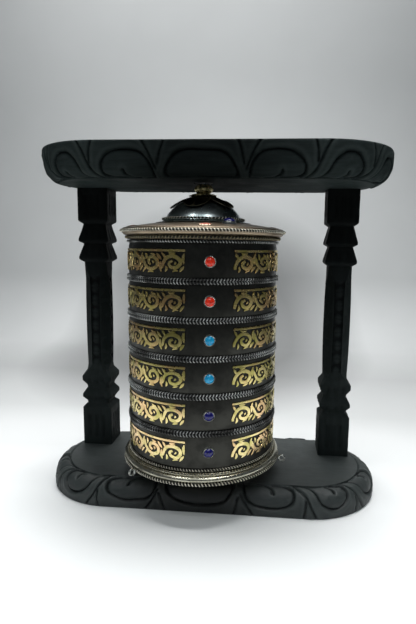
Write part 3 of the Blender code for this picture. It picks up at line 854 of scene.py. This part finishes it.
def raised_stroke(line, widest, taper, start_angle, base, middle, rise):
    """A flat-topped ridge with sloping sides, laid round the drum.

    base gives the drum's radius at a height above the band's middle.
    """
    heading = np.gradient(line, axis=0)
    heading /= np.maximum(np.linalg.norm(heading, axis=1), 1e-9)[:, None]
    across = np.stack([-heading[:, 1], heading[:, 0]], axis=1)
    half = widest / 2 * stroke_width(np.linspace(0, 1, len(line)), taper)
    slope = np.minimum(0.3, half * 0.6)
    # Each column's distance across the stroke, its share of the rise and its wear
    sections = [(-half - 0.1, -0.25, 0), (-half, 0.15, 0.12), (-half + slope, 1, 0.9),
                (0 * half, 1.07, 1), (half - slope, 1, 0.9), (half, 0.15, 0.12),
                (half + 0.1, -0.25, 0)]
    columns = []
    for offset, lift, _ in sections:
        flat = line + across * offset[:, None]
        radius = base(flat[:, 1]) + lift * rise
        columns.append(about_axis(start_angle + flat[:, 0] / base(0), radius, middle + flat[:, 1]))
    size = len(sections)
    faces = grid_faces(len(line), size)
    faces.append(tuple(range(size)))
    faces.append(tuple(range((len(line) - 1) * size, len(line) * size))[::-1])
    wear_and_light = [value for _, _, value in sections] * len(line)
    return Shape(np.stack(columns, axis=1), faces, wear_and_light)


def make_band(index):
    """A gently bulging strip with three blocks of raised scroll ornament."""
    node = f"frieze_band_{index}"
    shell = node_radius("drum_shell")
    strip_half = half_size(node)[2]
    middle = centre(node)[2]

    def base(height):
        return shell + 0.35 + BAND_BULGE * (1 - share(np.abs(height) / strip_half) ** 2)

    profile = [(base(height), middle + height) for height in np.linspace(-strip_half, strip_half, 17)]
    profile = [(shell - 0.1, middle - strip_half)] + profile + [(shell - 0.1, middle + strip_half)]
    add_mesh(f"band_strip_{index}", revolve(profile), [DARK_METAL], node, sharp=35)
    shape = Shape()
    rng = np.random.default_rng(70 + index)
    block_width = radians(BLOCK_ANGLE) * base(0)
    for block in range(BLOCKS):
        start = radians(STONE_ANGLE + (block + 0.5) * 360 / BLOCKS)
        for line, widest, taper in block_strokes(block_width, rng):
            rise = ORNAMENT_RISE * rng.uniform(0.9, 1.06)
            shape.join(raised_stroke(line, widest, taper, start, base, middle, rise))
    add_mesh(f"band_ornament_{index}", shape, [ORNAMENT], node, "drum", 42, "wear_and_light")


# ---- stones

STONE_SIDES = 40


def add_rings(shape, profile, count, place, turn, slot=0, toothed=(), teeth=(0, 0)):
    """Add rings of (radius, height) in a stone's own frame; teeth is the rise of even and odd steps."""
    points = []
    for row, (reach, rise) in enumerate(profile):
        for step, (x, y) in enumerate(circle(reach, count)):
            tooth = teeth[step % 2] if row in toothed else 0
            points.append(place + turn @ Vector((x, y, rise + tooth)))
    shape.add(points, grid_faces(len(profile), count, close_columns=True), slot)


def make_stone(band, number, material):
    """A cabochon in a serrated bezel, standing out from its band."""
    node = f"stone_{band}_{number}"
    x, y, height = centre(node)
    radius = half_size(node)[2]
    out = Vector((x - AXIS_X, y - AXIS_Y, 0)).normalized()
    turn = Matrix((UP.cross(out), UP, out)).transposed()
    place = Vector((AXIS_X, AXIS_Y, height)) + out * (node_radius("drum_shell") + 0.8)
    dome = smooth_line([(radius * 0.35, 3.05), (radius * 0.66, 2.5), (radius * 0.88, 1.75),
                        (radius * 0.98, 1), (radius, 0.2)], 3)
    bezel = [(radius + 0.6, -0.7), (radius + 0.5, 0.6), (radius + 0.34, 1.15), (radius - 0.1, 1.35),
             (radius - 0.05, 0.4)]
    foot = [(radius + 0.5, 0.1), (radius + 0.75, 0.2), (radius + 0.9, -0.1), (radius + 0.8, -0.6)]
    shape = Shape()
    add_rings(shape, dome, STONE_SIDES, place, turn)
    back = len(shape.points)
    fan = [(0, (step + 1) % STONE_SIDES - back, step - back) for step in range(STONE_SIDES)]
    shape.add([place + out * 3.2], fan)
    add_rings(shape, bezel, STONE_SIDES, place, turn, 1, (2, 3), (-0.12, 0.22))
    add_rings(shape, foot, STONE_SIDES, place, turn, 1)
    add_mesh(f"cabochon_{band}_{number}", shape, [material, BEZEL_SILVER], node, sharp=45)


LID_SLOPE = 3.1 / 20


def lid_drop(radius):
    """Drop below the lid's top of its straight slope."""
    return 2.8 + LID_SLOPE * (radius - 40)


def lid_stone(name, angle, reach, radius, tall, teeth, material, bezel):
    """A small stone set flat on the sloping lid."""
    heading = radians(angle)
    lean = atan(LID_SLOPE)
    up = Vector((sin(heading) * sin(lean), -cos(heading) * sin(lean), cos(lean)))
    side = Vector((cos(heading), sin(heading), 0))
    turn = Matrix((side, up.cross(side), up)).transposed()
    place = Vector(about_axis(heading, reach, corners("lid")[1][2] - lid_drop(reach)))
    count = teeth * 2
    dome = smooth_line([(radius, 0.2), (radius * 0.97, tall * 0.4), (radius * 0.8, tall * 0.72),
                        (radius * 0.45, tall * 0.94), (radius * 0.1, tall)], 3)
    cup = [(radius + 0.65, -0.5), (radius + 0.5, tall * 0.31), (radius - 0.1, tall * 0.55),
           (radius - 0.05, tall * 0.18)]
    shape = Shape()
    add_rings(shape, dome, count, place, turn)
    shape.add([], [tuple(range(-count, 0))])
    add_rings(shape, cup, count, place, turn, 1, (1, 2), (-0.25, 0.25))
    add_mesh(name, shape, [material, bezel], sharp=45)


def make_lid_stones():
    for index in range(4):
        lid_stone(f"lid_coral_{index + 1}", 9.5 + 90 * index, 60.5, 4.4, 1.4, 13, PALE_CORAL, LID_SILVER)
    for index in range(2):
        lid_stone(f"lid_lapis_{index + 1}", 32.6 + 180 * index, 48, 4.8, 4.4, 15, LAPIS, BEZEL_SILVER)


# ---- lid, dome and bottom

BALL_TALLER = 1.42  # the ball bulges past its CAD height, up to the bush
BALL_CUT = 24  # where its rod hole cuts it, in degrees from the pole
PETAL_RAYS = 32  # rays across each petal
PETAL_RINGS = 22
PETAL_BORE = 3.3


def make_shell():
    """The plain dark tube that shows between the strips and the ropes."""
    low, high = corners("drum_shell")
    radius = node_radius("drum_shell")
    profile = [(radius - 1, low[2]), (radius, low[2] + 0.2), (radius, high[2] - 0.2),
               (radius - 1, high[2])]
    add_mesh("shell_skin", revolve(profile), [DARK_METAL], "drum_shell")


def make_lid():
    """Conical plate, rounded rim and the plain cove under it."""
    low, high = corners("lid")
    edge = node_radius("rim_rope_top") - 2
    profile = [
        (7.3, 0), (12, 0.3), (40, lid_drop(40)), (60, lid_drop(60)),
        (edge - 1.2, 7.2), (edge - 0.3, 7.9), (edge, 9.2), (edge - 0.2, 11),
        (edge - 0.9, 12.3), (edge - 2.2, 13), (edge - 2.4, 13.1),
        (edge - 4.2, 13.3), (edge - 4.4, high[2] - low[2]),
    ]
    turned("lid_plate", hung(high[2], profile), LID_SILVER, "lid")


def make_dome():
    profile = [
        (4.5, 0), (8.5, 0.4), (13.5, 1.7), (18.6, 3.9), (23.4, 6.9), (27.8, 10.7), (31, 14.6),
        (32.8, 18.2), (33.6, 19.6), (33.6, 19.6), (35.4, 19.8), (38.6, 20.4), (40.4, 20.8), (40, 20.9),
    ]
    turned("dome_shell", hung(corners("dome")[1][2], profile), BLUED, "dome")


def petal_surface(name, node, valley, tip, crown, fall, power, thickness, rib, material):
    """Five pointed petals beaten out of one sheet, each with a raised rim and rib.

    valley and tip are the outline's radii between and at the points, and fall its drop at a tip.
    """
    count = 5
    rays = np.arange(count * PETAL_RAYS)
    off = np.abs((rays % PETAL_RAYS) / PETAL_RAYS - 0.5) * 2
    edge = valley + (tip - valley) * (1 - off ** 2)
    reach = (np.arange(PETAL_RINGS + 1) / PETAL_RINGS)[:, None]
    radius = PETAL_BORE + (edge - PETAL_BORE) * reach
    border = hump((1 - reach) * (edge - PETAL_BORE), 1.1)
    spine = hump(off * radius, 2.2) * share(reach * 2 - 0.6)
    hollow = np.sin(pi * share(reach * 1.3 - 0.3)) * (1 - spine)
    crease = hump((1 - off) * radius, 1.3) * share(1.4 - reach)
    lift = rib * (0.9 * border + 0.8 * spine - 0.7 * hollow - 0.8 * crease)
    height = crown - fall * (radius / tip) ** power + lift
    # High on rims, ribs and the middle for gilding and painted highlight, low in the hollows for painted
    # shade
    wear_and_light = 0.25 + 0.75 * border * reach + 0.5 * spine + 0.8 * share(1.2 - radius / 9) - 0.3 * hollow
    heading = TURN * rays / len(rays) + radians(-10) - pi / count
    upper = about_axis(heading, radius, height)
    under = about_axis(heading, radius, height - thickness)
    points = np.concatenate([upper, under[::-1]], axis=0)
    values = np.concatenate([share(wear_and_light), np.full(wear_and_light.shape, 0.2)], axis=0)
    shape = Shape(points, grid_faces(2 * (PETAL_RINGS + 1), len(rays), True, True), values)
    add_mesh(name, shape, [material], node, sharp=60, attribute="wear_and_light")


def make_finial():
    """Petal collar, small flower and gilt ball above the dome."""
    petal_surface("collar_petals", "lotus_collar", 18.5, 28.5, 262.8, 11.6, 2.2, 0.8, 0.7, PETAL_METAL)
    petal_surface("flower_petals", "finial_flower", 7, 12.5, 264.6, 3, 2, 0.6, 0.45, GOLD)
    middle = centre("finial_ball")[2]
    half = half_size("finial_ball")
    profile = []
    for angle in np.radians(np.linspace(BALL_CUT, 180 - BALL_CUT, 17)):
        profile.append(((half[0] + 0.3) * sin(angle), middle + BALL_TALLER * half[2] * cos(angle)))
    profile = [(3.4, profile[0][1] - 0.2)] + profile + [(3.4, profile[-1][1] + 0.1)]
    turned("ball_skin", profile, GOLD, "finial_ball", 50, 2)


def make_bottom():
    """Ogee moulding above the lower rim, and the flat floor with its hub."""
    low, high = corners("bottom_cover")
    floor = high[2] - low[2]
    edge = node_radius("rim_rope_bottom")
    profile = [
        (62.6, 0), (65.2, 0.2), (65.5, 1.9), (65.3, 2.3), (65.3, 2.3),
        (66.4, 2.35), (67.6, 2.9), (68.3, 3.9), (68.5, 5),
        (68.1, 5.9), (67.2, 6.5), (67.2, 6.5), (66.8, 8.2),
        (edge - 2.4, floor - 0.1), (edge - 2.6, floor), (edge - 2.6, floor), (50, floor - 0.5),
        (12, floor - 0.4), (8.5, floor), (3.6, floor),
    ]
    turned("bottom_moulding", hung(high[2], profile), SILVER, "bottom_cover")


def make_ropes():
    """The double ropes between the bands, and the single ones at the rims and the dome's foot."""
    for index in range(1, BANDS):
        node = f"separator_wire_{index}"
        rope(f"rope_pair_{index}", 63.7, centre(node)[2], 2.55, 2.5, DARK_ROPE, node, (1, -1))
    for end, material in (("top", DARK_ROPE), ("bottom", SILVER_ROPE)):
        node = f"{end}_separator_wire"
        rope(f"rope_fine_{end}", 63.6, centre(node)[2], 2.2, 2.4, material, node, (-1,))
    rope("rope_coarse_top", 64.9, corners("lid")[0][2] + 1.6, 2.7, 2.7, OLIVE_ROPE)
    rope("rope_coarse_bottom", 64.9, corners("bottom_cover")[1][2] - 0.9, 2.3, 2.6, OLIVE_ROPE)
    for end in ("top", "bottom"):
        node = f"rim_rope_{end}"
        rope(f"rope_rim_{end}", node_radius(node) - 1.3, centre(node)[2], 2.6, 2.6, SILVER_ROPE,
             node, (-1,))
    rope("rope_dome_foot", 34.4, centre("dome_bead_ring")[2] + 0.5, 2.3, 2.9, SILVER_ROPE,
         "dome_bead_ring")


def make_eyelet(name, node):
    """A wire eyelet, thicker where it is soldered to the rim, in its CAD ring's place."""
    middle = Vector(centre(node))
    out = Vector((middle.x - AXIS_X, middle.y - AXIS_Y, 0)).normalized()
    side = UP.cross(out)
    ring = half_size(node)[2] - 1
    points = []
    for ahead, rise in circle(1, 48):
        outwards = out * ahead + UP * rise
        thick = 0.98 + 0.25 * max(0, -ahead) ** 4
        for away, aside in circle(thick, 10):
            points.append(middle + outwards * (ring + away) + side * aside)
    add_mesh(name, Shape(points, grid_faces(48, 10, True, True)), [BEZEL_SILVER], node, sharp=60)


def finish_cad_nodes():
    """The small fittings keep their CAD shape and get their metal or paper."""
    screws = [f"{board}_screw_{side}" for board in ("base", "top") for side in ("left", "right")]
    finishes = dict.fromkeys(["axle", "axle_nut", "lower_thrust_washer", "inner_tube", *screws], STEEL)
    finishes.update(lower_pivot_cup=BRASS, upper_bush=BLACKENED, prayer_roll=PAPER)
    for name, material in finishes.items():
        for holder in frame["nodes"][name].material_slots:
            holder.material = material


# ---- stage, in metres

def add_light(name, place, target, size, power, colour=(1, 1, 1), spread=180):
    data = bpy.data.lights.new(name, "AREA")
    data.shape = "RECTANGLE"
    data.size, data.size_y = size
    data.energy = power
    data.color = colour
    data.spread = radians(spread)
    light = add_object(name, data)
    light.location = Vector(place)
    light.rotation_euler = (Vector(target) - Vector(place)).to_track_quat("-Z", "Y").to_euler()


def make_stage():
    """A pale floor that curves up into a pale wall behind the object."""
    wall = 0.75
    bend = 0.15
    half_width = 2.5
    line = [(-1.3, 0), (-0.6, 0), (0, 0), (wall - bend, 0)]
    for step in range(1, 13):
        angle = radians(90 * step / 12)
        line.append((wall - bend + bend * sin(angle), bend - bend * cos(angle)))
    line.append((wall, 2.4))
    mesh = bpy.data.meshes.new("backdrop")
    mesh.from_pydata([(x, y, z) for y, z in line for x in (-half_width, half_width)], [],
                     grid_faces(len(line), 2))
    mesh.materials.append(stage_material())
    mesh.shade_smooth()
    backdrop = add_object("backdrop", mesh)


def make_lights():
    crown = (AXIS_X * MM, AXIS_Y * MM, 0.25)
    add_light("overhead", (0.02, 0.12, 0.95), (0, 0, 0.12), (0.75, 0.5), 10.5, spread=130)
    add_light("wall_wash", (-0.15, 0.1, 1.55), (-0.15, 0.75, 0.65), (0.9, 0.3), 3.5, spread=80)
    add_light("ceiling_front", (0.05, -1.1, 1.25), crown, (1.2, 0.8), 3.6, (0.9, 0.97, 1))
    add_light("strip_left", (-0.54, -0.7, 1.32), crown, (0.07, 0.45), 1.7)
    add_light("strip_right", (0.38, -0.8, 1.32), crown, (0.07, 0.45), 1.7)
    world = bpy.data.worlds.new("studio")
    world.use_nodes = True
    sky = world.node_tree.nodes["Background"]
    sky.inputs["Color"].default_value = (0.8, 0.9, 1, 1)
    sky.inputs["Strength"].default_value = 0.1
    bpy.context.scene.world = world


def make_camera():
    data = bpy.data.cameras.new("camera")
    data.lens = CAMERA_LENS
    data.sensor_width = 36
    data.shift_x = CAMERA_SHIFT
    camera = add_object("camera", data)
    pitch, roll, turn = np.radians(CAMERA_ANGLES)
    aim = Euler((pi / 2 + pitch, 0, turn)).to_matrix() @ Matrix.Rotation(roll, 3, "Z")
    camera.matrix_world = Matrix.LocRotScale(Vector(CAMERA_PLACE) * MM, aim, None)
    bpy.context.scene.camera = camera
    bpy.context.scene.view_settings.view_transform = "Standard"


# ---- assembly

def screw_hole(node):
    x, y, _ = centre(node)
    return x, y, node_radius(node) + 0.3, 3, None


make_camera()
nut_hole = (AXIS_X, AXIS_Y, 8, 9, 3.2)
bush_hole = (AXIS_X, AXIS_Y, 8.3, 1.8, 3.2)
base_holes = [screw_hole("base_screw_left"), screw_hole("base_screw_right")]
top_holes = [screw_hole("top_screw_left"), screw_hole("top_screw_right"), nut_hole]
make_board("base_carved", "base_board", 1, base_holes, [], 21, WOOD_BASE)
make_board("top_carved", "top_board", -1, top_holes, [bush_hole], 35, WOOD_TOP)
make_post("post_left_carved", "post_left", 50)
make_post("post_right_carved", "post_right", 60)
make_shell()
stone_rows = [(CORAL, "coral"), (TURQUOISE, "turquoise"), (LAPIS, "lapis")]
for band_index in range(BANDS):
    make_band(band_index + 1)
    stone_finish, stone_slot = stone_rows[band_index // 2]
    for stone_number in range(1, BLOCKS + 1):
        make_stone(band_index + 1, stone_number, stone_finish)
make_lid()
make_lid_stones()
make_dome()
make_finial()
make_bottom()
make_ropes()
make_eyelet("eyelet_left", "rim_loop_left")
make_eyelet("eyelet_right", "rim_loop_right")
finish_cad_nodes()
make_stage()
make_lights()
